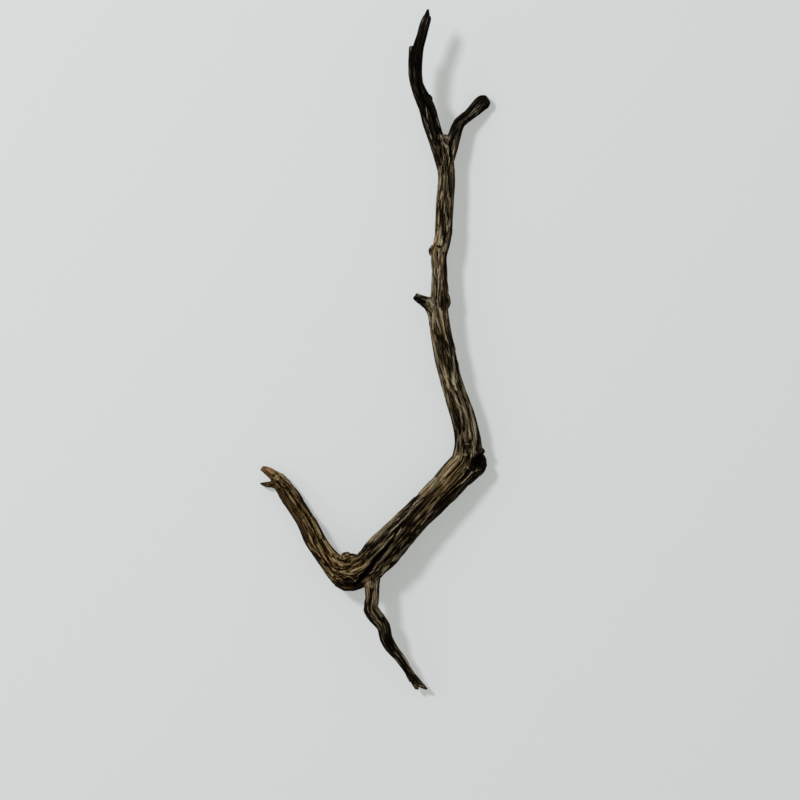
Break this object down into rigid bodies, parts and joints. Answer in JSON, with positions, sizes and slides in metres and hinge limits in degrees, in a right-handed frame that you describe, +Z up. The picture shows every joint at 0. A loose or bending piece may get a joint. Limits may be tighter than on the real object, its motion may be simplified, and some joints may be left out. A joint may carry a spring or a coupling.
{
  "type": "fallen tree branch",
  "caption": "Weathered driftwood branch lying down: a furrowed limb with a knotted elbow, a forked upper end with a clubbed tine, a bent-back arm with a split end and a thin crooked spur.",
  "frame": {"origin": "under the middle of the branch's bounding box, on the surface that it lies on", "axes": "+Y along the branch towards the tip of its longer tine, +X to the side of the knotted elbow, +Z up from the surface that it lies on"},
  "size_m": [0.1493, 0.4357, 0.033],
  "materials": {
    "weathered_wood": "dry, deeply furrowed tan and near-black grain",
    "dark_wood": "dry, dark chocolate brown with fine furrows",
    "golden_wood": "dry, warm golden brown, raw orange where it broke",
    "grey_wood": "dry, greyish tan, near black towards the tip",
    "broken_wood": "dark, with a pinkish brown broken end"
  },
  "bodies": {
    "root": {"stem": "weathered_wood", "left_tine": "dark_wood", "right_tine": "dark_wood", "bent_arm": "golden_wood", "spur": "grey_wood", "side_snag": "broken_wood"}
  },
  "joints": []
}
